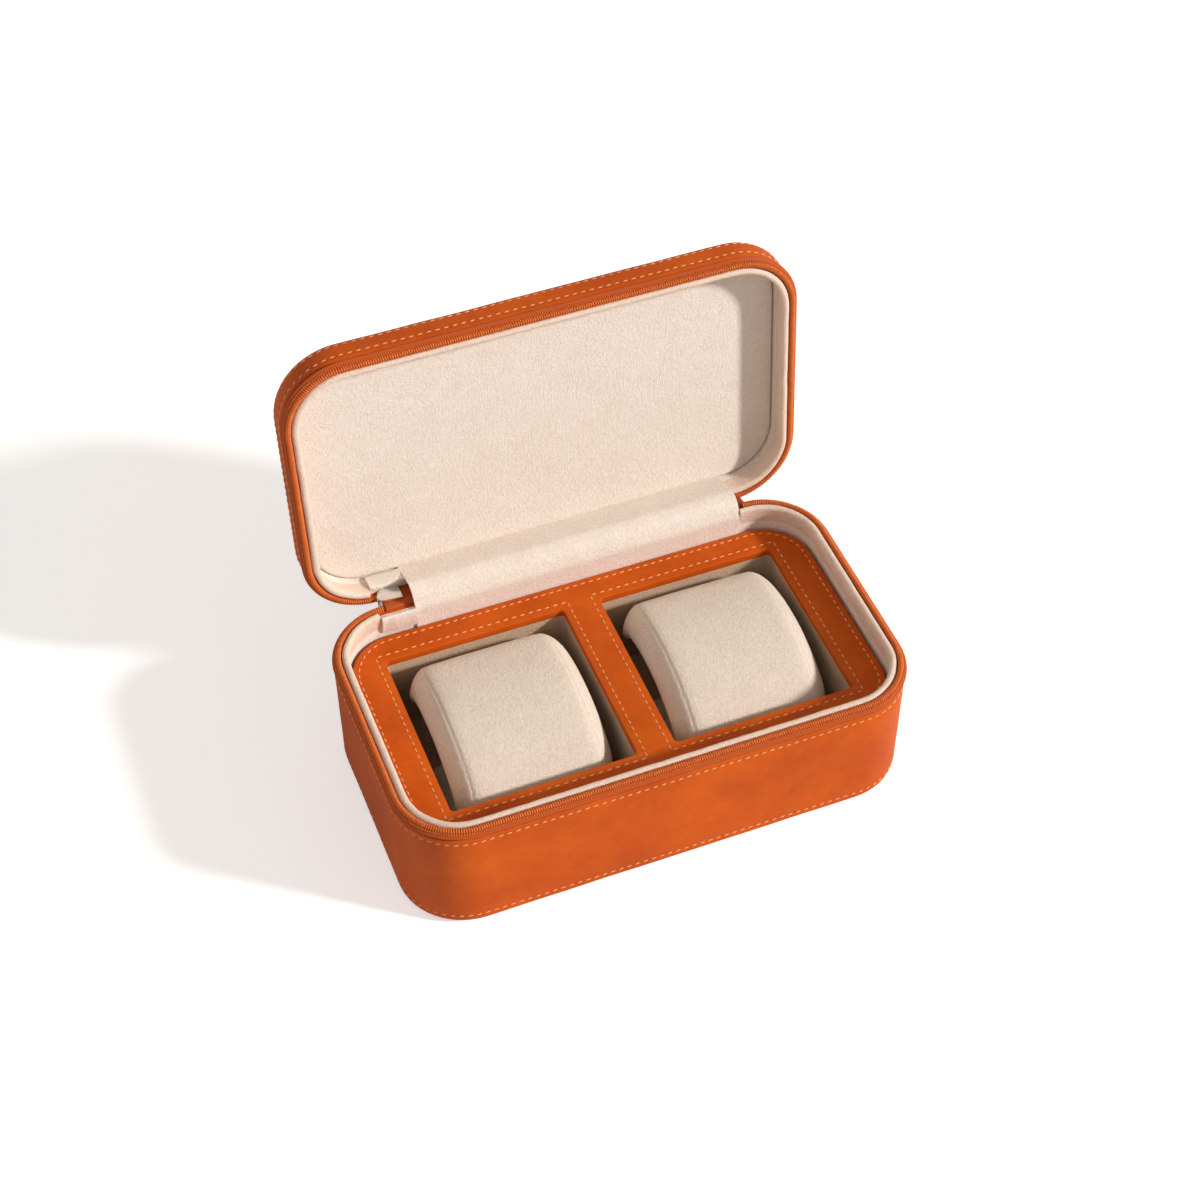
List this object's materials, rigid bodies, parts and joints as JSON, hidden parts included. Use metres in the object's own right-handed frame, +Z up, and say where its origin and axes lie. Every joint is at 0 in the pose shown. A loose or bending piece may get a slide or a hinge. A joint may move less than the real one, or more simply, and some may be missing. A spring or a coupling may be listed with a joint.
{
  "type": "watch travel case",
  "caption": "Zip-round leather travel case for two watches: rounded base with a two-window insert, lift-out padded cuffs and a hinged lid.",
  "frame": {"origin": "centre of the underside, on the surface the case stands on", "axes": "+X along the case to the right, +Y from the front to the hinge, +Z up; the lid is stored open"},
  "size_m": [0.18, 0.1315, 0.1474],
  "materials": {
    "orange_leather": "smooth burnt-orange leather with a soft sheen",
    "cream_suede": "pale beige suede with a short nap",
    "grey_board": "dense grey board, hidden",
    "zip_tape": "orange woven tape",
    "zip_coil": "orange nylon coil",
    "silver_metal": "polished silver-coloured metal"
  },
  "bodies": {
    "base": {"base_shell": "grey_board", "base_leather_wall": "orange_leather", "base_leather_bottom": "orange_leather", "base_lining": "cream_suede", "base_lining_lip": "cream_suede", "base_zip_tape": "zip_tape", "base_zip_coil": "zip_coil", "insert_frame_board": "grey_board", "insert_frame_leather": "orange_leather", "left_well": "cream_suede", "right_well": "cream_suede", "hinge_spine": "orange_leather", "hinge_flap": "cream_suede", "hinge_zip": "zip_coil"},
    "lid": {"lid_shell": "grey_board", "lid_leather_wall": "orange_leather", "lid_leather_top": "orange_leather", "lid_lining": "cream_suede", "lid_lining_lip": "cream_suede", "lid_zip_tape": "zip_tape", "lid_zip_coil": "zip_coil", "lid_panel_board": "grey_board", "lid_panel": "cream_suede"},
    "slider": {"zip_slider": "silver_metal"},
    "puller": {"zip_puller": "silver_metal"},
    "left_cuff": {"left_pillow": "cream_suede"},
    "right_cuff": {"right_pillow": "cream_suede"}
  },
  "joints": [
    {"name": "lid_hinge", "type": "hinge", "parent": "base", "child": "lid", "pos_m": [0, 0.051, 0.046], "axis": [1, 0, 0], "range_deg": [0, 95], "deforming": ["hinge_flap", "hinge_zip", "hinge_spine"]},
    {"name": "slider_travel", "type": "slide", "parent": "lid", "child": "slider", "axis": [1, 0, 0], "range_m": [0, 0.012]},
    {"name": "puller_swing", "type": "hinge", "parent": "slider", "child": "puller", "pos_m": [-0.0626, 0.05512, 0.04208], "axis": [1, 0, 0], "range_deg": [-5, 75]},
    {"name": "left_cuff_lift", "type": "slide", "parent": "base", "child": "left_cuff", "axis": [0, 0, 1], "range_m": [0, 0.0135]},
    {"name": "right_cuff_lift", "type": "slide", "parent": "base", "child": "right_cuff", "axis": [0, 0, 1], "range_m": [0, 0.0135]}
  ]
}
